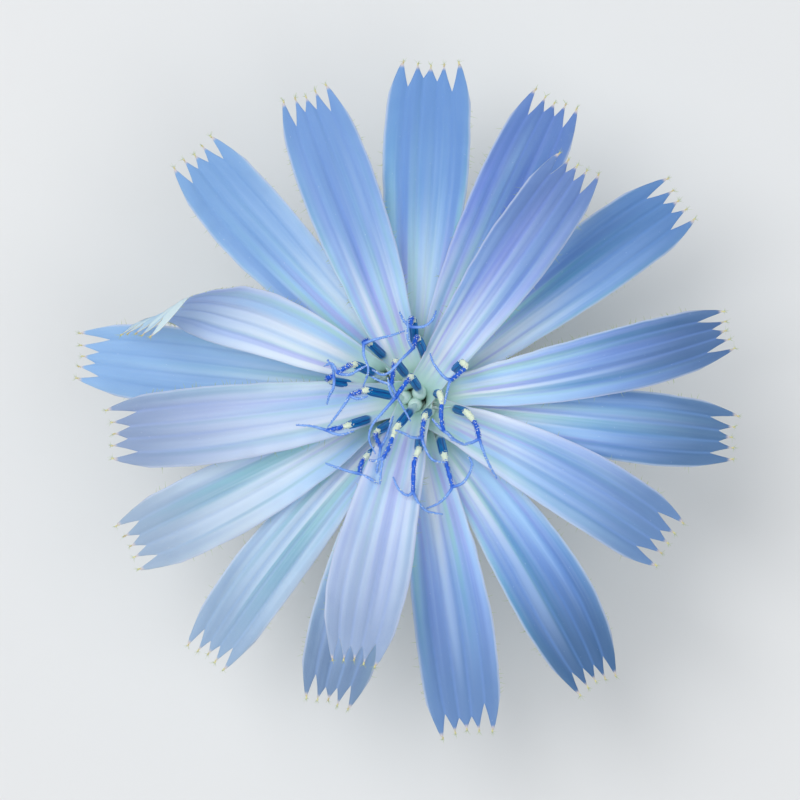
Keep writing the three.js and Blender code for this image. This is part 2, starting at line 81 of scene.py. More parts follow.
# One entry a floret, close to the courses of the CAD solids. foot and throat: where the corolla
# tube stands and opens, at the height level. azimuth, reach: the toothed tip seen from above.
# rises: height gained 35 %, 70 % and 100 % of the way out. bend: sideways bow of the blade. roll:
# its twist in degrees. anther: top of the anther tube. style, arms: points, with the height above
# the anther's top. depth, violet, mint: how deep, violet and greenish the blue is. painted_tip_shade:
# how far painted shade darkens the toothed end. lean: the side that the violet lies on. hairs: how many on
# each margin.
# The petal that folds over has its own course, its twist along it in turns, its cupping in curls,
# skew for teeth that reach further at one margin, and fold for where that margin starts.
FLORETS = [
    dict(foot=(0.05, 2.05), throat=(0.15, 2.5), azimuth=86.9, reach=18.9, width=4.9, tip=3.2,
         level=LOW, rises=(1.9, 3.5, 4.5), anther=(0.0, 4.3), depth=0.6, violet=0.1, mint=0.1, painted_tip_shade=0.15,
         lean=0.3,
         style=((-0.08, 4.45, 0.45), (-0.15, 4.0, 0.85)),
         arms=(((0.6, 4.0, 0.95), (1.1, 4.4, 0.85), (1.3, 4.9, 0.6)),
               ((-0.5, 4.3, 1.1), (-0.75, 4.8, 0.8)))),
    dict(foot=(0.8, 1.8), throat=(0.8, 1.85), azimuth=64.4, reach=18.6, width=4.2, tip=2.6,
         level=LOW, rises=(2.25, 4.1, 5.2), anther=(0.3, 3.3), depth=0.62, violet=0.8, mint=0.1, painted_tip_shade=0.45,
         style=((0.2, 3.4, 0.35), (0.0, 2.8, 0.9)),
         arms=(((-0.65, 2.14, 1.75), (-1.3, 1.45, 1.75), (-1.75, 1.3, 1.4), (-2.3, 1.6, 1.0)),
               ((-0.28, 3.3, 1.45), (-0.3, 4.4, 1.5)))),
    dict(foot=(0.5, 0.45), throat=(0.34, 0.26), azimuth=54.8, reach=15.9, width=3.9, tip=2.6,
         level=HIGH, rises=(2.8, 5.6, 7.4), roll=-12, anther=(-0.1, 1.15), depth=0.38, violet=1, mint=0,
         painted_tip_shade=0.5,
         style=((-0.35, 0.92, 0.55), (-1.0, 0.0, 0.9)),
         arms=(((-1.7, -0.8, 1.0), (-2.3, -1.55, 0.8), (-2.45, -2.3, 0.45), (-2.1, -3.1, 0.2)),
               ((-1.3, 0.5, 1.3), (-1.4, 1.15, 1.35)))),
    dict(foot=(1.75, 1.1), throat=(1.85, 1.15), azimuth=36.6, reach=18.8, width=4.3, tip=2.8,
         level=LOW, rises=(1.9, 3.5, 4.4), bend=0.25, anther=(2.75, 1.95), depth=0.65, violet=0, mint=0.5,
         painted_tip_shade=0.45,
         style=((2.95, 1.75, 0.45), (2.55, 1.35, 0.7), (2.1, 1.0, 0.75)),
         arms=(((1.78, 1.14, 0.85), (1.4, 1.57, 0.85), (1.12, 2.0, 0.7), (0.95, 2.5, 0.5)),
               ((1.88, 0.28, 1.25), (1.75, -0.35, 1.7)))),
    dict(foot=(1.3, 0.25), throat=(1.12, 0.2), azimuth=12.2, reach=18.1, width=3.7, tip=2.2,
         level=MIDDLE, rises=(2.3, 4.2, 5.2), bend=-0.35, roll=-8, anther=(1.48, 0.25),
         depth=0.58, violet=0.5, mint=0.3, painted_tip_shade=0.85, lean=0.8, hairs=(10, 46),
         style=((1.6, -0.15, 0.5), (1.56, -0.97, 0.6), (1.68, -1.8, 0.4)),
         arms=(((1.35, -1.5, 0.5), (1.05, -1.15, 0.45)),
               ((1.95, -2.0, 0.45), (2.25, -2.35, 0.4), (2.75, -2.5, 0.3)))),
    dict(foot=(1.95, -0.6), throat=(2.0, -0.52), azimuth=-7.0, reach=18.3, width=4.1, tip=2.5,
         level=LOW, rises=(1.8, 3.4, 4.2), anther=(2.95, -0.78), depth=0.55, violet=0.1, mint=0.45,
         painted_tip_shade=0.85,
         style=((3.3, -1.15, 0.4), (3.55, -1.6, 0.6), (3.7, -2.24, 0.55)),
         arms=(((3.2, -2.52, 0.6), (2.7, -2.55, 0.75), (2.2, -2.2, 0.8), (1.85, -1.85, 0.75)),
               ((3.95, -3.0, 0.5), (4.3, -3.8, 0.3), (4.7, -4.5, 0.0)))),
    dict(foot=(0.95, -0.72), throat=(0.8, -0.66), azimuth=-29.7, reach=16.6, width=4.2, tip=2.9,
         level=MIDDLE, rises=(2.4, 4.3, 4.3), bend=0.43, anther=(0.68, -0.98), depth=0.42, violet=0.4,
         mint=0.15, painted_tip_shade=0.6, lean=0.4,
         style=((0.58, -1.4, 0.45), (0.48, -2.18, 0.55)),
         arms=(((0.0, -2.2, 0.85), (-0.55, -1.95, 1.2), (-1.0, -1.78, 1.3)),
               ((0.7, -2.86, 0.5), (1.1, -3.45, 0.35), (1.86, -3.62, 0.2)))),
    dict(foot=(1.25, -1.6), throat=(1.36, -1.85), azimuth=-57.3, reach=19.2, width=4.6, tip=2.3,
         level=LOW, rises=(1.9, 3.5, 4.3), bend=0.58, anther=(1.74, -3.15), depth=0.7, violet=0.1, mint=0.5,
         painted_tip_shade=0.9,
         style=((1.9, -3.8, 0.55), (2.2, -4.93, 0.75)),
         arms=(((2.76, -4.75, 0.85), (3.15, -4.2, 0.85), (3.3, -3.7, 0.75), (3.08, -3.25, 0.6)),
               ((1.85, -5.5, 0.7), (1.4, -5.9, 0.55), (0.75, -6.18, 0.4)))),
    dict(foot=(0.28, -1.75), throat=(0.35, -1.85), azimuth=-80.8, reach=19.1, width=4.5, tip=2.9,
         level=MIDDLE, rises=(1.9, 3.5, 4.3), bend=0.2, anther=(0.32, -2.85), depth=0.46, violet=0.4,
         mint=0.4, painted_tip_shade=0.55,
         style=((0.06, -3.6, 0.6), (0.0, -5.2, 0.65)),
         arms=(((-0.28, -5.43, 0.7), (-0.78, -5.1, 0.75), (-1.12, -4.4, 0.65)),
               ((0.28, -5.8, 0.5), (0.75, -6.3, 0.2), (1.65, -6.5, -0.05)))),
    dict(foot=(0.1, -0.55), throat=(0.12, -0.36), azimuth=-102.7, reach=15.0, width=4.5, tip=2.4,
         level=HIGH, rises=(3.4, 6.6, 8.3), bend=-0.3, anther=(-0.8, -1.5), depth=0.1, violet=0.45,
         mint=0.1, painted_tip_shade=0.45,
         style=((-1.06, -1.95, 0.5), (-1.4, -2.86, 0.8), (-1.65, -3.3, 0.85)),
         arms=(((-1.78, -4.0, 0.85), (-1.85, -4.8, 0.7)), ((-2.1, -3.5, 0.9), (-2.45, -3.45, 0.85)))),
    dict(foot=(-0.68, -1.92), throat=(-0.75, -2.1), azimuth=-105.7, reach=17.9, width=4.4, tip=2.5,
         level=LOW, rises=(1.8, 3.3, 4.1), anther=(-2.5, -3.2), depth=0.22, violet=0.3, mint=0.1, painted_tip_shade=0.75,
         style=((-2.86, -3.6, 0.5), (-3.0, -4.2, 0.85)),
         arms=(((-3.6, -4.1, 0.9), (-4.2, -3.9, 0.8), (-4.9, -3.66, 0.5)),
               ((-2.4, -4.5, 1.15), (-1.98, -4.75, 1.45)))),
    dict(foot=(-0.62, -0.98), throat=(-0.65, -1.0), azimuth=-128.6, reach=18.7, width=3.8, tip=2.5,
         level=LOW, rises=(1.9, 3.5, 4.3), bend=-0.47, anther=(-1.95, -1.85), depth=0.18, violet=0,
         mint=0.7, painted_tip_shade=0.45,
         style=((-2.1, -2.1, 0.4), (-1.82, -2.7, 0.6)),
         arms=(((-1.5, -2.2, 0.8), (-1.3, -1.6, 0.95), (-1.1, -1.0, 1.0)),
               ((-1.95, -3.6, 0.45), (-2.05, -4.3, 0.2)))),
    dict(foot=(-1.85, -0.9), throat=(-1.9, -0.95), azimuth=-152.4, reach=18.1, width=4.3, tip=2.8,
         level=MIDDLE, rises=(2.0, 3.7, 4.6), bend=0.23, anther=(-3.55, -1.5), depth=0.1, violet=0.05,
         mint=0.8, painted_tip_shade=0.5,
         style=((-4.1, -1.66, 0.3), (-4.8, -1.8, 0.4)),
         arms=(((-5.5, -1.6, 0.45), (-6.55, -1.5, 0.3)), ((-4.1, -2.05, 0.6), (-3.3, -1.85, 0.65)))),
    dict(foot=(-0.75, -0.05), throat=(-0.44, 0.04), azimuth=-173.2, reach=17.1, width=4.4, tip=2.8,
         level=HIGH, rises=(2.2, 4.0, 4.2), bend=0.2, anther=(-2.55, 0.42), depth=0.08, violet=0.6,
         mint=0.4, painted_tip_shade=0.6, lean=-0.9, hairs=(36, 12),
         style=((-3.0, 0.35, 0.3), (-3.5, 0.15, 0.4)),
         arms=(((-3.75, -0.25, 0.45), (-4.25, -0.95, 0.4), (-4.75, -1.6, 0.2)),
               ((-3.1, -0.05, 0.6), (-2.5, 0.1, 0.65)))),
    dict(foot=(-1.95, 0.4), throat=(-2.1, 0.58), azimuth=172.8, reach=19.1, width=4.45, tip=2.6,
         level=LOW, rises=(1.3, 2.3, 2.5), anther=(-4.5, 0.95), depth=0.35, violet=0.05, mint=0, painted_tip_shade=0,
         style=((-4.8, 1.1, 0.5), (-4.45, 1.25, 0.9)),
         arms=(((-4.5, 1.7, 1.0), (-4.8, 2.15, 0.9)),
               ((-4.45, 0.6, 0.95), (-4.66, 0.2, 0.85), (-4.84, -0.36, 0.6)))),
    dict(foot=(-1.55, 1.15), throat=(-1.62, 1.12), azimuth=165, reach=16.2, width=4.6, tip=3.1,
         level=HIGH, rises=(2.4, 4.6, 4.6), anther=(-3.2, 1.85), depth=0.2, violet=0.6, mint=0.1, painted_tip_shade=0.1,
         lean=-0.9, hairs=(40, 110),
         style=((-3.6, 1.8, 0.4), (-4.2, 1.4, 0.45)),
         arms=(((-3.56, 1.3, 0.55), (-3.0, 1.6, 0.7), (-2.6, 1.8, 0.7)),
               ((-4.5, 1.9, 0.3), (-5.0, 1.8, 0.1))),
         course=((-5.6, 3.05, 12.5), (-9.6, 4.65, 13.9), (-12.6, 5.15, 14.7), (-14.5, 4.35, 14.9),
                 (-16.7, 2.8, 14.4)),
         turns=(0, 0, 22, 68, 108, 118), skew=1.6, fold=0.68,
         curls=((0.35, 45), (0.6, 64), (0.8, 50), (1.0, 26))),
    dict(foot=(-0.95, 1.85), throat=(-1.25, 2.0), azimuth=131.9, reach=18.6, width=4.4, tip=2.8,
         level=LOW, rises=(2.0, 3.6, 4.5), bend=0.33, anther=(-2.4, 3.05), depth=0.42, violet=0.1,
         mint=0.05, painted_tip_shade=0.1,
         style=((-2.6, 3.2, 0.45), (-2.75, 3.05, 0.8)),
         arms=(((-2.75, 2.4, 0.95), (-2.5, 1.6, 1.0), (-2.8, 0.6, 0.8)),
               ((-2.2, 3.25, 1.0), (-1.2, 3.5, 1.0), (-0.45, 3.75, 0.8)))),
    dict(foot=(-0.2, 1.05), throat=(-0.14, 0.88), azimuth=109.6, reach=18.1, width=4.3, tip=2.6,
         level=MIDDLE, rises=(2.1, 3.9, 4.9), anther=(-0.95, 2.0), depth=0.48, violet=0.35, mint=0.1,
         painted_tip_shade=0.15, hairs=(26, 26),
         style=((-1.06, 1.8, 0.45), (-1.2, 0.8, 0.55)),
         arms=(((-1.7, 0.9, 0.6), (-2.35, 1.2, 0.5)), ((-0.84, 0.0, 0.5), (-0.13, -1.3, 0.3)))),
]


# ---- small helpers ---------------------------------------------------------
def between(stops, position):
    """Straight-line value at a position among (position, value) stops."""
    if position <= stops[0][0]:
        return stops[0][1]
    for (low, low_value), (high, high_value) in zip(stops, stops[1:]):
        if position <= high:
            return low_value + (high_value - low_value) * (position - low) / (high - low)
    return stops[-1][1]


def softened(stops, position, spread):
    """The same value with its corners rounded off."""
    offsets = (-1, -0.5, 0, 0.5, 1)
    return sum(between(stops, position + spread * offset) for offset in offsets) / len(offsets)


def is_inner(floret):
    return Vector(floret["throat"]).length < INNER_THROAT


def scatter(rng):
    """Random vector with each part from -1 to 1."""
    return Vector((rng.uniform(-1, 1), rng.uniform(-1, 1), rng.uniform(-1, 1)))


def any_direction(rng):
    return Vector((rng.gauss(0, 1), rng.gauss(0, 1), rng.gauss(0, 1)))


def any_side(rng, ahead):
    """Random unit vector square to the one given."""
    outward = any_direction(rng)
    return (outward - ahead * outward.dot(ahead)).normalized()


class Course:
    """Smooth curve through points, as the CAD's centripetal Catmull-Rom curve."""

    def __init__(self, points):
        self.points = [Vector(point) for point in points]
        first, last = self.points[0], self.points[-1]
        self.padded = [2 * first - self.points[1], *self.points, 2 * last - self.points[-2]]

    def point(self, share):
        spans = len(self.points) - 1
        place = min(max(share, 0.0), 1.0) * spans
        index = min(int(place), spans - 1)
        local = place - index
        a, b, c, d = self.padded[index:index + 4]
        gaps = [max((q - p).length ** 0.5, 1e-6) for p, q in ((a, b), (b, c), (c, d))]
        slope_b = ((b - a) / gaps[0] - (c - a) / (gaps[0] + gaps[1]) + (c - b) / gaps[1]) * gaps[1]
        slope_c = ((c - b) / gaps[1] - (d - b) / (gaps[1] + gaps[2]) + (d - c) / gaps[2]) * gaps[1]
        u2, u3 = local * local, local ** 3
        return (b * (2 * u3 - 3 * u2 + 1) + slope_b * (u3 - 2 * u2 + local)
                + c * (3 * u2 - 2 * u3) + slope_c * (u3 - u2))

    def tangent(self, share):
        step = 0.002
        return (self.point(share + step) - self.point(share - step)).normalized()

    def length(self):
        steps = 100
        stops = [self.point(index / steps) for index in range(steps + 1)]
        return sum((b - a).length for a, b in zip(stops, stops[1:]))


class Shell:
    """Collects corners, faces and one vector mark per corner, then becomes a mesh object."""

    def __init__(self):
        self.corners = []
        self.faces = []
        self.marks = []

    def add(self, corners, faces, marks):
        start = len(self.corners)
        self.corners += corners
        self.marks += marks
        self.faces += [tuple(start + index for index in face) for face in faces]

    def build(self, name, material):
        mesh = bpy.data.meshes.new(name)
        placed = [(corner + AXIS) * MM for corner in self.corners]
        mesh.from_pydata(placed, [], self.faces)
        marks = mesh.attributes.new("mark", "FLOAT_VECTOR", "POINT")
        marks.data.foreach_set("vector", [value for mark in self.marks for value in mark])
        mesh.polygons.foreach_set("use_smooth", [True] * len(mesh.polygons))
        mesh.materials.append(material)
        mesh.validate()
        piece = bpy.data.objects.new(name, mesh)
        bpy.context.scene.collection.objects.link(piece)
        return piece


def rod_rings(points, radii, sides):
    """Rings of corners round a path, with frames carried along it without twist."""
    rings = []
    side = None
    for index, point in enumerate(points):
        ahead = points[min(index + 1, len(points) - 1)] - points[max(index - 1, 0)]
        ahead.normalize()
        if side is None:
            side = ahead.orthogonal().normalized()
        side = (side - ahead * side.dot(ahead)).normalized()
        other = ahead.cross(side)
        ring = []
        for step in range(sides):
            angle = 2 * math.pi * step / sides
            ring.append(point + (side * math.cos(angle) + other * math.sin(angle)) * radii[index])
        rings.append(ring)
    return rings


def add_rod(shell, points, radii, sides, mark):
    """Closed round rod; mark(share along, share round) gives each corner's mark."""
    rings = rod_rings(points, radii, sides)
    corners = [corner for ring in rings for corner in ring]
    last = len(rings) - 1
    marks = [mark(row / last, step / sides) for row in range(last + 1) for step in range(sides)]
    faces = []
    for row in range(last):
        for step in range(sides):
            after = (step + 1) % sides
            faces.append((row * sides + step, row * sides + after,
                          (row + 1) * sides + after, (row + 1) * sides + step))
    faces.append(tuple(reversed(range(sides))))
    faces.append(tuple(last * sides + step for step in range(sides)))
    shell.add(corners, faces, marks)


def grain_shape():
    """Corners and outward faces of a small rounded grain with twelve corners."""
    golden = (1 + 5 ** 0.5) / 2
    corners = []
    for a in (-1, 1):
        for b in (-golden, golden):
            corners += [Vector((0, a, b)), Vector((a, b, 0)), Vector((b, 0, a))]
    faces = []
    for i, j, k in combinations(range(len(corners)), 3):
        p, q, r = corners[i], corners[j], corners[k]
        if max((p - q).length, (q - r).length, (p - r).length) < 2.01:
            outward = (q - p).cross(r - p).dot(p) > 0
            faces.append((i, j, k) if outward else (i, k, j))
    return [corner.normalized() for corner in corners], faces


GRAIN_CORNERS, GRAIN_FACES = grain_shape()


def add_grain(shell, centre, radius, mark, squash=1.0, along=Vector((0, 0, 1))):
    """Small rounded grain, drawn out by squash along a direction."""
    basis = along.to_track_quat("Z", "Y").to_matrix()
    corners = []
    for unit in GRAIN_CORNERS:
        corner = unit * radius
        corner.z *= squash
        corners.append(centre + basis @ corner)
    shell.add(corners, GRAIN_FACES, [mark] * len(corners))


def sheet_faces(rows, columns):
    """Faces of a thin closed sheet: its upper grid of corners, then its lower one, and the rims."""
    width = columns + 1
    size = width * (rows + 1)
    faces = []

    def rim(a, step, flip):
        quad = (a, a + step, a + step + size, a + size)
        faces.append(tuple(reversed(quad)) if flip else quad)

    for row in range(rows):
        for column in range(columns):
            a = row * width + column
            b = a + size
            faces.append((a + width, a + width + 1, a + 1, a))
            faces.append((b + 1, b + width + 1, b + width, b))
        rim(row * width, width, True)
        rim(row * width + columns, width, False)
    for column in range(columns):
        rim(column, 1, False)
        rim(rows * width + column, 1, True)
    return faces


def add_hair(shell, root, direction, length, radius, curl, mark):
    """Thin tapering hair that bends over towards curl."""
    points = []
    for step in range(5):
        share = step / 4
        points.append(root + direction * (length * share) + curl * (length * share * share))
    radii = [radius * (1 - 0.75 * step / 4) for step in range(5)]
    add_rod(shell, points, radii, 3, lambda along, around: mark)


# ---- materials -------------------------------------------------------------
def linear(red, green, blue):
    """Linear colour from the usual 0 to 255 values."""
    channels = []
    for value in (red, green, blue):
        share = value / 255
        channels.append(share / 12.92 if share <= 0.04045 else ((share + 0.055) / 1.055) ** 2.4)
    return (*channels, 1)


class Surface:
    """Short way to write a node material around one Principled shader."""

    def __init__(self, name, roughness):
        self.material = bpy.data.materials.new(name)
        self.material.use_nodes = True
        self.tree = self.material.node_tree
        self.shader = self.tree.nodes["Principled BSDF"]
        self.shader.inputs["Roughness"].default_value = roughness

    def node(self, kind, **settings):
        node = self.tree.nodes.new(kind)
        for key, value in settings.items():
            setattr(node, key, value)
        return node

    def link(self, source, target):
        self.tree.links.new(source, target)

    def math(self, operation, first, second=0.5, third=None):
        node = self.node("ShaderNodeMath", operation=operation)
        for socket, value in zip(node.inputs, (first, second, third)):
            if value is None:
                continue
            if isinstance(value, (int, float)):
                socket.default_value = value
            else:
                self.link(value, socket)
        return node.outputs[0]

    def mix(self, share, first, second):
        node = self.node("ShaderNodeMix", data_type="RGBA")
        for socket, value in ((node.inputs[0], share), (node.inputs[6], first), (node.inputs[7], second)):
            if isinstance(value, (int, float, tuple)):
                socket.default_value = value
            else:
                self.link(value, socket)
        return node.outputs[2]

    def smooth(self, value, low, high):
        node = self.node("ShaderNodeMapRange", interpolation_type="SMOOTHSTEP")
        self.link(value, node.inputs["Value"])
        node.inputs["From Min"].default_value = low
        node.inputs["From Max"].default_value = high
        return node.outputs["Result"]

    def tint(self, base, colour, value, low, high, weight=1.0):
        """Base mixed towards colour, as far as value has gone from low to high."""
        share = self.smooth(value, low, high)
        if weight != 1.0:
            share = self.math("MULTIPLY", share, weight)
        return self.mix(share, base, colour)

    def marks(self):
        """The mark as a vector, and its three parts."""
        mark = self.node("ShaderNodeAttribute", attribute_name="mark")
        split = self.node("ShaderNodeSeparateXYZ")
        self.link(mark.outputs["Vector"], split.inputs[0])
        return mark.outputs["Vector"], *split.outputs

    def stretched(self, vector, scale, offset=(0, 0, 0)):
        node = self.node("ShaderNodeMapping")
        self.link(vector, node.inputs["Vector"])
        node.inputs["Scale"].default_value = scale
        node.inputs["Location"].default_value = offset
        return node.outputs["Vector"]

    def noise(self, vector, scale, detail=2.0, roughness=0.5):
        node = self.node("ShaderNodeTexNoise")
        self.link(vector, node.inputs["Vector"])
        node.inputs["Scale"].default_value = scale
        node.inputs["Detail"].default_value = detail
        node.inputs["Roughness"].default_value = roughness
        return node.outputs[0]

    def position(self):
        return self.node("ShaderNodeTexCoord").outputs["Object"]

    def finish(self, colour, height=None, distance=0.02):
        self.link(colour, self.shader.inputs["Base Color"])
        if height is not None:
            bump = self.node("ShaderNodeBump")
            bump.inputs["Distance"].default_value = distance * MM
            bump.inputs["Strength"].default_value = 0.6
            self.link(height, bump.inputs["Height"])
            self.link(bump.outputs["Normal"], self.shader.inputs["Normal"])
        return self.material

    def translucent(self, weight, depth):
        self.shader.inputs["Subsurface Weight"].default_value = weight
        self.shader.inputs["Subsurface Radius"].default_value = (0.7, 0.85, 1.0)
        self.shader.inputs["Subsurface Scale"].default_value = depth * MM


def blend_colours(first, second, share):
    return tuple(a + (b - a) * share for a, b in zip(first, second))


def petal_material(name, floret, seed):
    """Strap: soft lengthwise bands of blue, pale and streaky towards the root, darkened at the teeth by
    painted shade.
    Marks are x: across, -1 to 1; y: along, 0 to 1, below 0 in the tube; z: 1 on the upper face,
    plus up to 0.4 at the very tips of the teeth."""
    surface = Surface(name, 0.6)
    vector, across, along, coded = surface.marks()
    face = surface.math("GREATER_THAN", coded, 0.7)
    tooth_tip = surface.math("MULTIPLY", surface.math("SUBTRACT", coded, face), 2.5)
    depth, violet = floret["depth"], floret["violet"]
    pale = blend_colours(linear(232, 243, 252), linear(184, 220, 246), min(depth / 0.4, 1))
    deep = linear(30, 104, 192)
    lavender, teal = linear(128, 136, 230), linear(76, 156, 174)
    middle = blend_colours(blend_colours(pale, deep, depth), lavender, 0.42 * violet)
    dark = blend_colours(blend_colours(middle, linear(64, 118, 192), 0.45), lavender, 0.3 * violet)
    light = blend_colours(middle, linear(208, 230, 254), 0.55)
    # painted shade: the toothed end's colour is pulled towards a dark teal, as far as the floret's entry
    # sets
    tip = blend_colours(blend_colours(middle, deep, 0.25), linear(16, 56, 76), 0.76 * floret["painted_tip_shade"])

    def band(cycles, along_cycles, shift):
        place = surface.stretched(vector, (cycles, along_cycles, 1), (seed + shift, 0, shift))
        return surface.noise(place, 1.0, 1)

    wide, narrow = band(1.5, 0.35, 0), band(3.4, 0.5, 11)
    streak, fine = band(2.6, 0.4, 23), band(12, 1.0, 31)
    patch = band(0.8, 4.0, 47)

    blade = surface.tint(middle, light, wide, 0.5, 0.68, 0.7)
    blade = surface.tint(blade, dark, narrow, 0.52, 0.68, 0.5)
    blade = surface.tint(blade, teal, streak, 0.5, 0.64, 0.2 + 0.6 * floret["mint"])
    lean = floret.get("lean", 0)
    side = surface.math("MULTIPLY_ADD", across, lean, 0.5 * (1 - abs(lean)))
    violet_here = surface.math("MULTIPLY", surface.smooth(side, 0.0, 0.8), 0.08 + 0.6 * violet)
    violet_here = surface.math("MULTIPLY", violet_here, surface.smooth(streak, 0.56, 0.4))
    blade = surface.mix(violet_here, blade, lavender)
    blade = surface.tint(blade, light, fine, 0.45, 0.7, 0.2)
    blade = surface.tint(blade, dark, patch, 0.5, 0.75, 0.14)
    outwards = surface.math("MULTIPLY_ADD", narrow, 0.3, surface.math("SUBTRACT", along, 0.15))
    # painted shade deepens the blade towards its toothed end
    blade = surface.tint(blade, tip, outwards, 0.38, 0.9, 0.95)

    root = surface.tint(linear(176, 212, 250), linear(236, 246, 255), wide, 0.4, 0.62)
    root = surface.tint(root, linear(196, 192, 250), narrow, 0.5, 0.64, 0.75)
    root = surface.tint(root, linear(180, 224, 208), streak, 0.5, 0.64, 0.65)
    uneven = surface.math("MULTIPLY_ADD", surface.math("ADD", wide, narrow), 0.35, -0.35)
    colour = surface.tint(root, blade, surface.math("ADD", along, uneven), 0.1, 0.56)
    # the throat's own pale mint, set lighter still as painted light against the shade deep in the head
    colour = surface.tint(colour, linear(200, 234, 222), along, 0.16, 0.03)

    # painted shade darkens the grooves where the pleats between the five teeth run
    sideways = surface.math("ABSOLUTE", across)
    nearest = surface.math("ABSOLUTE", surface.math("SUBTRACT", sideways, 0.37))
    nearest = surface.math("MINIMUM", nearest, 1.0)
    off_groove = surface.math("ABSOLUTE", surface.math("SUBTRACT", nearest, 0.19))
    painted_groove_shade = surface.smooth(off_groove, 0.07, 0.0)
    painted_groove_shade = surface.math("MULTIPLY", painted_groove_shade, surface.smooth(along, 0.1, 0.6))
    # painted shade: the strap is mixed towards its dark blue along the grooves
    colour = surface.mix(surface.math("MULTIPLY", painted_groove_shade, 0.35), colour, dark)
    colour = surface.tint(colour, linear(206, 218, 248), sideways, 0.93, 1.0, 0.6)
    under = surface.tint(linear(176, 206, 230), linear(206, 230, 238), narrow, 0.4, 0.65)
    under = surface.tint(under, linear(238, 248, 238), along, 0.1, -0.05)
    colour = surface.mix(face, under, colour)
    colour = surface.tint(colour, linear(210, 198, 196), tooth_tip, 0.4, 0.85)
    colour = surface.tint(colour, linear(214, 210, 148), tooth_tip, 0.8, 1.0)

    specks = surface.noise(surface.stretched(vector, (26, 110, 1), (seed * 5, 0, 0)), 1.0, 1)
    colour = surface.tint(colour, linear(235, 240, 250), specks, 0.77, 0.81, 0.5)
    surface.translucent(0.3, 0.3)
    surface.shader.inputs["Specular IOR Level"].default_value = 0.3
    surface.shader.inputs["Sheen Weight"].default_value = 0.12
    surface.shader.inputs["Sheen Roughness"].default_value = 0.4
    height = surface.math("MULTIPLY_ADD", fine, 0.6, surface.math("MULTIPLY", specks, 0.4))
    return surface.finish(colour, height, 0.025)


def hair_material():
    """Marginal hairs and tooth nubs. Mark x: 1 on a nub; y: its tone; z: 1 on a white tube hair."""
    surface = Surface("petal_hair", 0.6)
    _, kind, tone, pale = surface.marks()
    hair = surface.mix(pale, linear(176, 196, 132), linear(230, 242, 236))
    nub = surface.mix(tone, linear(224, 224, 158), linear(206, 186, 142))
    spots = surface.noise(surface.position(), 9000, 2)
    nub = surface.tint(nub, linear(224, 226, 160), spots, 0.45, 0.7, 0.5)
    surface.translucent(0.2, 0.2)
    return surface.finish(surface.mix(kind, hair, nub))


def anther_material():
    """Dark blue tube with seams, pale below. Mark x: share round, y: along, z: ridge height."""
    surface = Surface("anther_tube", 0.45)
    vector, _, along, ridge = surface.marks()
    grain = surface.noise(surface.stretched(vector, (30, 4, 1)), 1.0, 3)
    colour = surface.tint(linear(0, 104, 180), linear(0, 146, 206), grain, 0.35, 0.7)
    colour = surface.tint(colour, linear(0, 70, 148), ridge, 0.55, 0.0)
    colour = surface.tint(colour, linear(222, 244, 236), along, 0.5, 0.34)
    surface.shader.inputs["Specular IOR Level"].default_value = 0.25
    return surface.finish(colour, grain, 0.02)


def pollen_material():
    """Mark x: the grain's tone."""
    surface = Surface("pollen", 0.75)
    _, tone, _, _ = surface.marks()
    spots = surface.noise(surface.position(), 14000, 2)
    colour = surface.mix(tone, linear(226, 244, 208), linear(246, 252, 230))
    colour = surface.tint(colour, linear(190, 216, 196), spots, 0.5, 0.75, 0.4)
    surface.translucent(0.2, 0.1)
    return surface.finish(colour, spots, 0.02)


def style_material():
    """Style and arms. Mark x: 0 at the collar to 1 at the arm's end; y: 1 on a bristle."""
    surface = Surface("style_and_arms", 0.5)
    _, along, bristle, _ = surface.marks()
    grain = surface.noise(surface.position(), 9000, 3)
    shaft = surface.tint(linear(12, 92, 214), linear(136, 178, 242), along, 0.42, 0.62)
    shaft = surface.tint(shaft, linear(130, 184, 226), along, 0.26, 0.12)
    shaft = surface.tint(shaft, linear(84, 138, 226), grain, 0.45, 0.65, 0.6)
    surface.shader.inputs["Specular IOR Level"].default_value = 0.35
    return surface.finish(surface.mix(bristle, shaft, linear(60, 116, 216)), grain, 0.02)


def bract_material():
    """Mark x: across, y: 0 at the base to 1 at the tip."""
    surface = Surface("bract", 0.55)
    vector, across, along, _ = surface.marks()
    grain = surface.noise(surface.stretched(vector, (14, 2, 1)), 1.0, 3, 0.6)
    cells = surface.noise(surface.position(), 3000, 3)
    green = surface.tint(linear(84, 122, 52), linear(126, 158, 84), grain, 0.35, 0.7)
    base = surface.tint(linear(200, 208, 160), linear(176, 194, 130), grain, 0.4, 0.6)
    colour = surface.tint(base, green, along, 0.1, 0.5)
    sideways = surface.math("ABSOLUTE", across)
    colour = surface.tint(colour, linear(168, 190, 120), sideways, 0.14, 0.0, 0.5)
    colour = surface.tint(colour, linear(188, 196, 150), sideways, 0.8, 1.0, 0.6)
    colour = surface.tint(colour, linear(120, 92, 84), along, 0.85, 1.0, 0.6)
    surface.translucent(0.15, 0.3)
    return surface.finish(colour, surface.math("ADD", grain, cells), 0.05)


def gland_material():
    """Stalked glands on the bracts. Mark x: 1 on the gland's head."""
    surface = Surface("gland_hair", 0.4)
    _, head, _, _ = surface.marks()
    spots = surface.noise(surface.position(), 8000, 1)
    stalk = surface.mix(spots, linear(150, 166, 104), linear(116, 138, 72))
    return surface.finish(surface.mix(head, stalk, linear(150, 70, 60)))


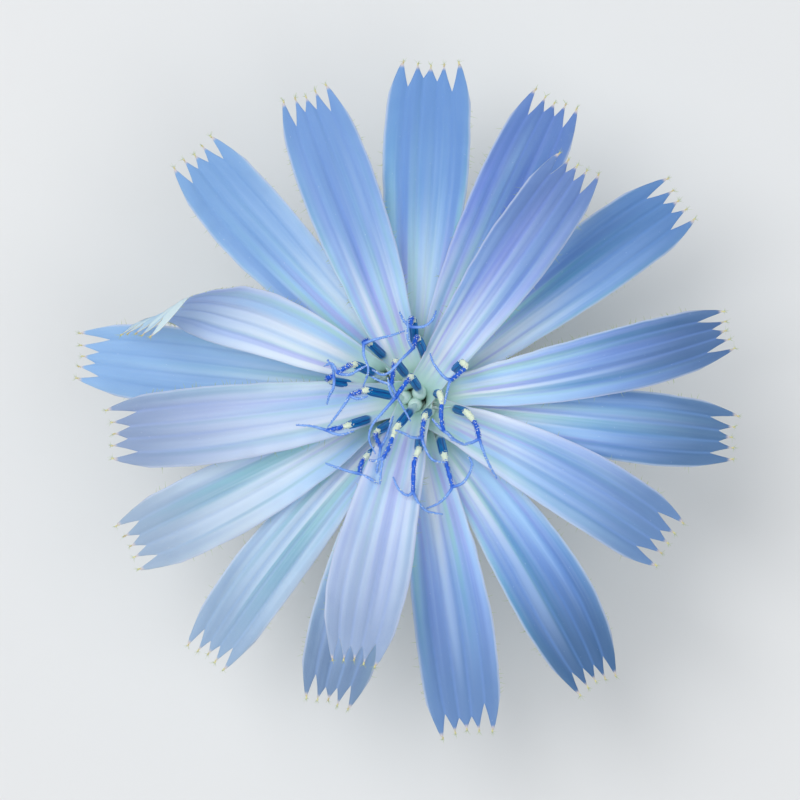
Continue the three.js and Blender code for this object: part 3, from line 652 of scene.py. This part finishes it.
def stem_material():
    """Mark y: height share, z: 1 on the cut face."""
    surface = Surface("cut_stem", 0.6)
    _, _, along, cut = surface.marks()
    position = surface.position()
    streak = surface.noise(surface.stretched(position, (3000, 3000, 400)), 1.0, 3)
    skin = surface.tint(linear(86, 120, 56), linear(136, 160, 92), streak, 0.35, 0.7)
    skin = surface.tint(skin, linear(190, 204, 150), along, 0.5, 1.0, 0.6)
    pith = surface.mix(surface.noise(position, 5000, 3), linear(224, 230, 196), linear(186, 202, 140))
    return surface.finish(surface.mix(cut, skin, pith), streak, 0.05)


def floor_material():
    surface = Surface("studio_floor", 0.8)
    cloud = surface.noise(surface.position(), 30, 3)
    colour = surface.mix(cloud, linear(222, 223, 224), linear(228, 228, 227))
    return surface.finish(colour)


# ---- straps ----------------------------------------------------------------
def strap_course(floret):
    start = Vector((*floret["throat"], floret["level"]))
    if "course" in floret:
        return Course([start, *floret["course"]])
    azimuth = math.radians(floret["azimuth"])
    end = Vector((math.cos(azimuth), math.sin(azimuth), 0)) * floret["reach"]
    sideways = Vector((-math.sin(azimuth), math.cos(azimuth), 0))
    points = [start]
    for share, rise in zip((0.35, 0.7, 1), floret["rises"]):
        point = start.lerp(end, share) + sideways * (floret.get("bend", 0) * 4 * share * (1 - share))
        point.z = floret["level"] + rise
        points.append(point)
    return Course(points)


def strap_turn(floret, along):
    if "turns" in floret:
        turns = floret["turns"]
        stops = [(index / (len(turns) - 1), angle) for index, angle in enumerate(turns)]
        return softened(stops, along, 0.08)
    return floret.get("roll", 0) * along


def strap_frame(floret, course, along):
    """(tangent, across, up) of the strap."""
    tangent = course.tangent(along)
    level = Vector((-tangent.y, tangent.x, 0)).normalized()
    across = Matrix.Rotation(-math.radians(strap_turn(floret, along)), 3, tangent) @ level
    return tangent, across, tangent.cross(across)


def sheet_width(floret, along):
    """Width of the flattened sheet: nearly rolled up in the tube (along < 0), wide in the blade."""
    wide = floret["width"]
    end = min(1.22 * floret["tip"], 0.92 * wide)
    shoulder = 0.5 * (wide + end) + 0.06 * wide
    flare = 1.1 if is_inner(floret) else 0.0
    stops = [(-1, 1.7), (-0.55, 1.65 + 0.4 * flare), (-0.3, 2.3 + flare), (-0.12, 2.9 + flare),
             (0.03, 0.42 * wide + 0.5 * flare), (0.12, 0.54 * wide), (0.2, 0.68 * wide),
             (0.4, 0.88 * wide), (0.58, 0.99 * wide), (0.7, wide), (0.85, shoulder), (1.0, end)]
    return softened(stops, along, 0.03)


def sheet_curl(floret, along):
    """Angle in degrees that the sheet bends through from margin to margin."""
    stops = [(-1, 345), (-0.3, 335), (-0.1, 300), (-0.02, 195), (0.06, 104), (0.12, 78), (0.22, 54)]
    stops += floret.get("curls", [(0.4, 42), (0.7, 26), (1.0, 14)])
    return softened(stops, along, 0.03)


def strap_rows(floret, course):
    """(along, middle point, across, up) of each row of the sheet, from the seed end outwards."""
    tangent, across, _ = strap_frame(floret, course, 0.02)
    outward = Vector((tangent.x, tangent.y, 0)).normalized()
    foot = Vector((*floret["foot"], FOOT_HEIGHT))
    sunk = 0.5 if is_inner(floret) else 0.75
    mouth = Vector((*floret["throat"], floret["level"] - sunk))
    joints = []
    for step in range(TUBE_ROWS):
        share = step / (TUBE_ROWS - 1)
        joints.append((-1 + 0.9 * share, foot.lerp(mouth, share) + outward * TUBE_RADIUS))
    for along in (0.035, 0.07, 0.1):
        joints.append((along, course.point(along)))
    bend = Course([point for _, point in joints[-5:]])
    rows = []
    for along, point in joints[:TUBE_ROWS]:
        rows.append((along, point, across, -outward))
    for step in range(1, BEND_ROWS + 1):
        share = 0.25 + 0.75 * step / BEND_ROWS
        along = between([(0.25, -0.1), (0.5, 0.035), (0.75, 0.07), (1.0, 0.1)], share)
        ahead = bend.tangent(share)
        rows.append((along, bend.point(share), across, ahead.cross(across).normalized()))
    for step in range(1, BLADE_ROWS + 1):
        along = 0.1 + 0.9 * step / BLADE_ROWS
        _, side, up = strap_frame(floret, course, along)
        rows.append((along, course.point(along), side, up))
    return rows


def tooth_place(share):
    """(tooth number, place in it from -1 to 1, with 0 at its tip) for a share across the strap."""
    for tooth in range(TEETH):
        low, high = LOBES[tooth], LOBES[tooth + 1]
        if share <= high or tooth == TEETH - 1:
            return tooth, 2 * (share - low) / (high - low) - 1


def tooth_edge(length, skew, rng):
    """Function giving how far along the strap it ends, for each share across it, and the tips."""
    tips = [1.0 - (drop + rng.uniform(0, 0.14)) / length for drop in TIP_DROPS]
    notches = [1.0 - depth * rng.uniform(0.85, 1.15) / length for depth in NOTCH_DEPTHS]

    def edge(share):
        tooth, offset = tooth_place(share)
        notch = notches[tooth] if offset < 0 else notches[tooth + 1]
        outer = (tooth == 0 and offset < 0) or (tooth == TEETH - 1 and offset > 0)
        spread = abs(offset)
        rise = 1 - spread ** 2.2 if outer else 0.68 * (1 - spread ** 1.3) + 0.32 * (1 - spread) ** 2.4
        return notch + (tips[tooth] - notch) * rise + skew * (share - 1) / length

    centres = [(low + high) / 2 for low, high in zip(LOBES, LOBES[1:])]
    return edge, [tip + skew * (centre - 1) / length for tip, centre in zip(tips, centres)]


def ligule(index, floret, material, hairs):
    rng = random.Random(100 + index)
    course = strap_course(floret)
    length = course.length()
    skew = floret.get("skew", 0)  # how much further the teeth reach at one margin
    edge, tips = tooth_edge(length, skew, rng)
    rows = strap_rows(floret, course)
    columns = TEETH * COLUMNS_PER_TOOTH
    shares = []
    for low, high in zip(LOBES, LOBES[1:]):
        shares += [low + (high - low) * step / COLUMNS_PER_TOOTH for step in range(COLUMNS_PER_TOOTH)]
    shares.append(1)
    ripple_seed = Vector((index * 7.3, index * 3.1, 0))
    teeth_start = TEETH_START - 0.125 * skew
    wave = rng.uniform(0.5, 1.0)

    def lookup(along):
        """Row values at any along, by straight lines between rows."""
        for lower, upper in zip(rows, rows[1:]):
            if along <= upper[0]:
                span = upper[0] - lower[0]
                share = (along - lower[0]) / span if span > 0 else 0
                return [a + (b - a) * share for a, b in zip(lower, upper)]
        return rows[-1]

    def sheet_point(share, along):
        """Middle of the sheet's thickness, its normal, and its side direction there."""
        _, middle, across, up = lookup(along)
        width = sheet_width(floret, along)
        curl = math.radians(sheet_curl(floret, along))
        radius = width / curl
        angle = share * curl / 2
        point = middle + across * (radius * math.sin(angle)) + up * (radius * (1 - math.cos(angle)))
        normal = (up * math.cos(angle) - across * math.sin(angle)).normalized()
        side = (across * math.cos(angle) + up * math.sin(angle)).normalized()
        blade = min(max(along / 0.3, 0), 1)
        lobe = max(1 - tooth_place(share)[1] ** 2, 0) ** 0.6
        pleat = PLEAT * blade * (lobe - 0.6) * (width / 4)
        fine = noise.noise(Vector((share * 9, along * 3, 0)) + ripple_seed) * 0.03 * blade
        sway = noise.noise(Vector((share * 1.2, along * 4.5, 5)) + ripple_seed) * SWAY * blade * wave
        frill = abs(share) ** 3 * noise.noise(Vector((share * 2, along * 16, 9)) + ripple_seed)
        frill *= FRILL * blade
        return point + normal * (pleat + fine + sway + frill), normal, side

    shell = Shell()
    corners, marks = [], []
    stations = [row[0] for row in rows]
    for face in (1, 0):
        for along in stations:
            for column in range(columns + 1):
                share = shares[column]
                here = along
                if along > teeth_start:
                    stretch = (edge(share) - teeth_start) / (1 - teeth_start)
                    here = teeth_start + (along - teeth_start) * stretch
                point, normal, _ = sheet_point(share, here)
                thin = SHEET_THICKNESS * (0.25 + 0.75 * (1 - share ** 8)) * (1 - 0.4 * max(here, 0))
                corners.append(point + normal * (thin / 2 if face else -thin / 2))
                to_tip = (tips[tooth_place(share)[0]] - here) * length
                marks.append((share, here, face + 0.4 * max(0, 1 - to_tip / 0.7)))
    shell.add(corners, sheet_faces(len(stations) - 1, columns), marks)
    name = f"floret_{index + 1:02d}_ligule"
    piece = shell.build(name + "_petal", material)

    # marginal hairs, and the small hairy nub on each tooth
    fringe = Shell()
    fold = floret.get("fold")  # where a margin that folds over starts to be hairy
    for side_sign in (-1, 1):
        first = fold if fold and side_sign > 0 else 0.25
        last = fold if fold and side_sign < 0 else edge(side_sign) - 0.004
        for _ in range(floret.get("hairs", (12, 12))[0 if side_sign < 0 else 1]):
            along = rng.uniform(first, last)
            point, normal, side = sheet_point(side_sign, along)
            lean = Vector((rng.uniform(-1, 1), rng.uniform(-1, 1), rng.uniform(-0.6, 1))) * 0.35
            direction = (side * side_sign + lean).normalized()
            curl = Vector((rng.uniform(-1, 1), rng.uniform(-1, 1), rng.uniform(-0.3, 1))) * 0.4
            add_hair(fringe, point, direction, rng.uniform(0.12, 0.34), HAIR_RADIUS, curl, (0, 0, 0))
    # white hairs outside the tube's mouth, which close the gaps between the tubes
    for _ in range(TUBE_HAIRS):
        share = rng.choice((-1, 1)) * rng.uniform(0.4, 1)
        point, normal, _ = sheet_point(share, rng.uniform(-0.22, 0.0))
        lean = Vector((rng.uniform(-1, 1), rng.uniform(-1, 1), rng.uniform(0.2, 1.4))) * 0.7
        direction = (lean - normal).normalized()
        reach = rng.uniform(0.3, 0.6)
        add_hair(fringe, point, direction, reach, TUBE_HAIR_RADIUS, lean * 0.3, (0, 0, 1))
    for tooth in range(TEETH):
        share = (LOBES[tooth] + LOBES[tooth + 1]) / 2
        end = edge(share)
        point, normal, _ = sheet_point(share, end)
        back, _, _ = sheet_point(share, end - 0.01)
        ahead = (point - back).normalized()
        tone = rng.uniform(0, 1)
        add_grain(fringe, point + normal * 0.01, NUB_RADIUS, (1, tone, 0), 1.8, ahead)
        for _ in range(3):
            offset = scatter(rng) * 0.04
            add_grain(fringe, point - ahead * rng.uniform(0.0, 0.18) + offset, rng.uniform(0.025, 0.04),
                      (1, rng.uniform(0, 1), 0))
        for _ in range(9):
            lean = scatter(rng)
            direction = (ahead + lean * 0.9).normalized()
            reach = rng.uniform(0.12, 0.3)
            add_hair(fringe, point, direction, reach, NUB_HAIR_RADIUS, lean * 0.3, (0, 0, 0))
    fringe_piece = fringe.build(name + "_fringe", hairs)
    for made in (piece, fringe_piece):
        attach(made, "root")
        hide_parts(name)


# ---- anther tube, pollen, style and stigma arms ------------------------------
def dense(points, per_span):
    """Points closely spaced along a smooth curve through the given ones."""
    course = Course(points)
    count = per_span * (len(points) - 1)
    return [course.point(step / count) for step in range(count + 1)]


def anther(shell, base, top):
    """Tube of five joined anthers, with free tails below and pointed lobes round its mouth."""
    sides, rows = 60, 30
    axis = (top - base).normalized()
    side = axis.orthogonal().normalized()
    other = axis.cross(side)
    stops = [(0, 0.36), (0.1, 0.55), (0.24, 0.92), (0.5, 1.0), (0.88, 1.0), (1.0, 0.84)]
    corners, marks, faces = [], [], []
    for wall in (1.0, 0.72):
        for row in range(rows + 1):
            along = row / rows
            for step in range(sides):
                turn = step / sides
                angle = 2 * math.pi * turn
                ridge = abs(math.cos(2.5 * angle))
                lobe = (1 - abs(math.cos(2.5 * angle + math.pi / 2))) * 0.22
                height = along * (base - top).length
                if along > 0.9:
                    height += (along - 0.9) / 0.1 * (0.22 - lobe) * 0.8
                radius = ANTHER_RADIUS * softened(stops, along, 0.02) * (0.86 + 0.14 * ridge ** 0.6)
                radius *= wall
                direction = side * math.cos(angle) + other * math.sin(angle)
                corners.append(base + axis * height + direction * radius)
                marks.append((turn, along, ridge if wall == 1.0 else 0.2))
    size = sides * (rows + 1)
    for row in range(rows):
        for step in range(sides):
            after = (step + 1) % sides
            a, b = row * sides + step, row * sides + after
            faces.append((a, b, b + sides, a + sides))
            faces.append((a + size, a + sides + size, b + sides + size, b + size))
    for step in range(sides):
        after = (step + 1) % sides
        faces.append((step, step + size, after + size, after))
        top_row = rows * sides
        faces.append((top_row + step, top_row + after, top_row + after + size, top_row + step + size))
    shell.add(corners, faces, marks)


def stamens(index, floret, materials):
    rng = random.Random(500 + index)
    anther_look, pollen_look, style_look = materials
    course = strap_course(floret)
    _, _, up = strap_frame(floret, course, 0.02)
    base = course.point(0.02) + up * 0.42
    top = Vector((*floret["anther"], 0))
    lean = math.hypot(top.x - base.x, top.y - base.y)
    top.z = base.z + math.sqrt(ANTHER_LENGTH ** 2 - lean ** 2)
    axis = (top - base).normalized()

    def raised(point):
        return Vector((point[0], point[1], top.z + point[2]))

    style_points = [raised(point) for point in floret["style"]]
    arms = [[raised(point) for point in arm] for arm in floret["arms"]]

    tube = Shell()
    anther(tube, base - axis * 0.5, top)
    # the pale filaments that fill the corolla tube below the anthers
    mouth = Vector((*floret["throat"], floret["level"] - 0.45))
    wide = 0.42 if is_inner(floret) else 0.28
    strand = [mouth - Vector((0, 0, 1.6)), mouth - Vector((0, 0, 0.2)), mouth.lerp(base, 0.7), base]
    radii = [0.03 + wide * math.sqrt(1 - (step / 12) ** 3) for step in range(13)]
    add_rod(tube, dense(strand, 4), radii, 12, lambda share, turn: (turn, 0, 1))

    # pollen pushed out of the tube's mouth, thickest there and thinning up the style
    shaft = dense([top - axis * 0.3, top + axis * 0.12, *style_points], 10)
    collar = Shell()
    collar_path = shaft[:int(len(shaft) * 0.6)]
    radii = []
    for step, point in enumerate(collar_path):
        share = step / (len(collar_path) - 1)
        radii.append(COLLAR_RADIUS * between([(0, 0.85), (0.3, 1), (0.75, 0.92), (1.0, 0.62)], share))
    add_rod(collar, collar_path, radii, COLLAR_SIDES, lambda along, around: (0.4, 0, 0))
    for corner_index, corner in enumerate(collar.corners):
        lump = noise.noise(corner * 9 + Vector((index, 0, 0)))
        centre = collar_path[corner_index // COLLAR_SIDES]
        collar.corners[corner_index] = centre + (corner - centre) * (1 + 0.22 * lump)
    for _ in range(COLLAR_GRAINS):
        place = rng.uniform(0.12, 1.0) ** 1.1
        step = min(int(place * (len(collar_path) - 1)), len(collar_path) - 1)
        outward = any_direction(rng).normalized()
        spot = collar_path[step] + outward * radii[step] * rng.uniform(0.9, 1.12)
        add_grain(collar, spot, rng.uniform(0.026, 0.04), (rng.uniform(0, 1), 0, 0))

    # style with short bristles and stray grains, then the two arms
    rod = Shell()
    style_radii = [STYLE_RADIUS * (0.92 + 0.12 * math.sin(step * 1.3)) for step in range(len(shaft))]
    add_rod(rod, shaft, style_radii, 12, lambda along, around: (0.45 * along, 0, 0))
    for _ in range(STYLE_BRISTLES):
        place = rng.uniform(0.35, 1.0)
        step = min(int(place * (len(shaft) - 1)), len(shaft) - 1)
        ahead = shaft[min(step + 1, len(shaft) - 1)] - shaft[max(step - 1, 0)]
        ahead.normalize()
        outward = any_side(rng, ahead)
        root = shaft[step] + outward * STYLE_RADIUS * 0.9
        add_hair(rod, root, (outward + ahead * 0.5).normalized(), rng.uniform(0.05, 0.1), HAIR_RADIUS,
                 ahead * 0.2, (0.3, 1, 0))
    for arm in arms:
        path = dense([shaft[-2], shaft[-1], *arm], 9)[9:]
        count = len(path) - 1
        arm_radii = [ARM_RADIUS * between([(0, 1.25), (0.2, 1.0), (0.8, 0.72), (1, 0.4)], step / count)
                     for step in range(count + 1)]
        add_rod(rod, path, arm_radii, 10, lambda along, around: (0.45 + 0.55 * along, 0, 0))
        for step in range(2, count):
            ahead = (path[step + 1] - path[step - 1]).normalized()
            for _ in range(7):
                outward = any_side(rng, ahead)
                root = path[step].lerp(path[step + 1], rng.random()) + outward * arm_radii[step] * 0.8
                add_hair(rod, root, (outward + ahead * 0.3).normalized(), rng.uniform(0.03, 0.06),
                         ARM_HAIR_RADIUS, ahead * 0.1, (0.8, 1, 0))
    stray = Shell()
    lines = [(shaft, STYLE_RADIUS, 0.35, 90)]
    for arm in arms:
        lines.append((dense([shaft[-1], *arm], 9), ARM_RADIUS * 0.85, 0.0, 26))
    for line, radius, start, count in lines:
        for _ in range(count):
            place = start + (1 - start) * rng.random() ** 1.3
            step = min(int(place * (len(line) - 1)), len(line) - 1)
            outward = any_direction(rng).normalized()
            add_grain(stray, line[step] + outward * radius, rng.uniform(0.018, 0.034), (1, 0, 0))
    collar.add(stray.corners, stray.faces, stray.marks)

    name = f"floret_{index + 1:02d}"
    made = [
        tube.build(name + "_anther_tube", anther_look),
        collar.build(name + "_pollen", pollen_look),
        rod.build(name + "_style", style_look),
    ]
    for piece in made:
        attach(piece, "root")
        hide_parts(name + "_stamens")


# ---- bracts ----------------------------------------------------------------
def bract(name, azimuth, rows, thickness, look, glands, seed):
    """Scale through (radius, height, width, curl) rows, with a midrib, thin edges and glands."""
    rng = random.Random(seed)
    course = Course([(radius, 0, height) for radius, height, _, _ in rows])
    count = len(rows) - 1
    width_stops = [(index / count, row[2]) for index, row in enumerate(rows)]
    curl_stops = [(index / count, row[3]) for index, row in enumerate(rows)]
    turn = Matrix.Rotation(azimuth, 3, "Z")
    steps, half = 40, 10
    wobble = Vector((seed * 1.7, 0, 0))

    def sheet(share, along):
        tangent = course.tangent(along)
        inner = Vector((-tangent.z, 0, tangent.x))
        width = softened(width_stops, along, 0.07)
        curl = softened(curl_stops, along, 0.07)
        point = course.point(along) + Vector((0, share * width / 2, 0)) + inner * (curl * share * share)
        point += inner * 0.06 * noise.noise(Vector((share * 1.5, along * 4, 0)) + wobble)
        return turn @ point, turn @ inner

    shell = Shell()
    corners, marks = [], []
    for face in (1, 0):
        for step in range(steps + 1):
            along = step / steps
            for column in range(-half, half + 1):
                share = column / half
                point, inner = sheet(share, along)
                depth = thickness * (1 - 0.75 * share * share) * (1 - 0.35 * along)
                rib = 0.09 * max(0, 1 - abs(share) / 0.16) * (1 - along)
                ridge = 0.02 * math.cos(share * 14)
                offset = depth / 2 if face else -(depth / 2 + rib + ridge * (1 - abs(share)))
                corners.append(point + inner * offset)
                marks.append((share, along, face))
    shell.add(corners, sheet_faces(steps, 2 * half), marks)
    piece = shell.build(name + "_scale", look)

    fringe = Shell()
    for _ in range(GLANDS):
        along = rng.uniform(0.25, 0.97)
        if rng.random() < 0.6:
            share = rng.choice((-1, 1)) * rng.uniform(0.94, 1.0)
        else:
            share = rng.uniform(-0.5, 0.5)
        point, inner = sheet(share, along)
        outwards, sideways = (0.3, 1.0) if abs(share) > 0.9 else (1.0, 0.1)
        away = -inner * outwards
        edgewise = turn @ Vector((0, math.copysign(1, share), 0)) * sideways
        direction = (away + edgewise + Vector((0, 0, rng.uniform(-0.2, 0.5)))).normalized()
        reach = rng.uniform(0.25, 0.5)
        root = point - inner * thickness * 0.2
        if root.z + direction.z * reach < 0.1:
            continue
        add_hair(fringe, root, direction, reach, STALK_RADIUS, Vector((0, 0, 0.1)), (0, 0, 0))
        head = root + direction * reach + Vector((0, 0, 0.1 * reach))
        add_grain(fringe, head, GLAND_RADIUS, (1, 0, 0))
    fringe_piece = fringe.build(name + "_glands", glands)
    for made in (piece, fringe_piece):
        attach(made, "root")
        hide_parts(name)


def inner_bracts(look, glands):
    count = 8
    foot = DISC_RADIUS + 0.25
    wide = 2.42
    low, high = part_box("inner_bract_1")
    base, top = low.z / MM, high.z / MM
    for index in range(count):
        rows = [
            (foot, base, wide * 0.7, 0.16), (foot + 0.12, base + 1.45, wide, 0.26),
            (foot + 0.15, base + 3.65, wide * 0.95, 0.24),
            (foot + 0.12, base + 5.45, wide * 0.72, 0.16),
            (foot + 0.13, base + 6.75, wide * 0.42, 0.08), (foot + 0.2, top, wide * 0.1, 0.0),
        ]
        uneven = 0.03 * math.sin(2.3 * index + 1)  # not quite evenly spaced
        azimuth = 2 * math.pi * (index + 0.45 + uneven) / count
        bract(f"inner_bract_{index + 1}", azimuth, rows, INNER_THICKNESS, look, glands, 40 + index)


def outer_bracts(look, glands):
    count = 5
    wide = 3.4
    ground = 0.13
    for index in range(count):
        rows = [
            (2.35, 1.0, wide * 0.5, 0.1), (3.3, 1.35, wide * 0.78, 0.2), (4.0, 2.3, wide, 0.14),
            (4.75, 2.95, wide * 0.95, 0.0), (5.7, 2.6, wide * 0.72, -0.1),
            (6.35, 1.4, wide * 0.42, -0.06), (6.6, ground, wide * 0.08, 0.0),
        ]
        azimuth = 2 * math.pi * (index + 0.2) / count
        bract(f"outer_bract_{index + 1}", azimuth, rows, OUTER_THICKNESS, look, glands, 60 + index)


# ---- cut stem and receptacle -----------------------------------------------
def receptacle(look):
    """Ribbed stub of stem with a slightly sunken cut face, flaring into the disc."""
    sides = 96
    profile = [(0, 0.12), (0.5, 0.1), (1.2, 0.06), (1.65, 0.03), (1.82, 0.0), (1.9, 0.05), (1.92, 0.3),
               (1.9, 0.6), (1.92, 0.95), (2.05, 1.2), (2.35, 1.45), (DISC_RADIUS - 0.05, 1.7),
               (DISC_RADIUS, 1.95), (DISC_RADIUS - 0.06, 2.2), (2.2, 2.3), (1.6, DISC_TOP - 0.06),
               (0.8, DISC_TOP), (0, DISC_TOP)]
    corners, marks, faces = [], [], []
    cut_points = 5
    for row, (radius, height) in enumerate(profile):
        for step in range(sides):
            angle = 2 * math.pi * step / sides
            rib = 1 + (0.025 * math.cos(10 * angle) if 4 < row < 11 else 0)
            grain = noise.noise(Vector((math.cos(angle) * 2, math.sin(angle) * 2, height * 2))) * 0.02
            reach = radius * rib + (grain if radius > 0 else 0)
            corners.append(Vector((math.cos(angle) * reach, math.sin(angle) * reach, height)))
            marks.append((step / sides, height / DISC_TOP, 1 if row < cut_points else 0))
    for row in range(len(profile) - 1):
        for step in range(sides):
            after = (step + 1) % sides
            a, b = row * sides + step, row * sides + after
            faces.append((a, b, b + sides, a + sides))
    shell = Shell()
    shell.add(corners, faces, marks)
    piece = shell.build("stem_and_receptacle", look)
    weld_axis(piece)
    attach(piece, "root")
    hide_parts("receptacle")


def weld_axis(piece):
    """Merges the corners that meet on the axis."""
    mesh = bmesh.new()
    mesh.from_mesh(piece.data)
    bmesh.ops.remove_doubles(mesh, verts=mesh.verts, dist=1e-3 * MM)
    mesh.to_mesh(piece.data)
    mesh.free()


# ---- studio ----------------------------------------------------------------
def studio():
    bpy.ops.mesh.primitive_plane_add(size=2.0, location=(0, 0, -0.00002))
    floor = bpy.context.object
    floor.name = "studio_floor"
    floor.data.materials.append(floor_material())

    world = bpy.data.worlds.new("studio")
    world.use_nodes = True
    background = world.node_tree.nodes["Background"]
    background.inputs["Color"].default_value = (0.93, 0.96, 1.0, 1)
    background.inputs["Strength"].default_value = SKY_STRENGTH
    bpy.context.scene.world = world

    def lamp(name, place, power):
        data = bpy.data.lights.new(name, "AREA")
        data.shape = "DISK"
        data.size = LAMP_SIZE
        data.energy = power
        light = bpy.data.objects.new(name, data)
        light.location = place
        light.rotation_euler = (Vector((0, 0, 0.01)) - Vector(place)).to_track_quat("-Z", "Y").to_euler()
        bpy.context.scene.collection.objects.link(light)

    lamp("key", (-0.22, 0.14, 0.5), KEY_POWER)
    lamp("fill", (0.17, -0.1, 0.5), FILL_POWER)

    centre = Vector((-0.73 * MM, -0.11 * MM, 0)) + AXIS * MM
    petal_height = 0.0135
    distance = 0.25
    view_width = 0.0448
    data = bpy.data.cameras.new("camera")
    data.sensor_width = 36
    data.lens = data.sensor_width * distance / view_width
    data.clip_start, data.clip_end = 0.005, 10
    camera = bpy.data.objects.new("camera", data)
    camera.location = (centre.x, centre.y, petal_height + distance)
    bpy.context.scene.collection.objects.link(camera)
    bpy.context.scene.camera = camera
    bpy.context.scene.view_settings.view_transform = "Standard"


def main():
    hairs = hair_material()
    looks = (anther_material(), pollen_material(), style_material())
    for index, floret in enumerate(FLORETS):
        look = petal_material(f"petal_{index + 1:02d}", floret, 1.7 * index)
        ligule(index, floret, look, hairs)
        stamens(index, floret, looks)
    green, glands = bract_material(), gland_material()
    inner_bracts(green, glands)
    outer_bracts(green, glands)
    receptacle(stem_material())
    studio()


main()
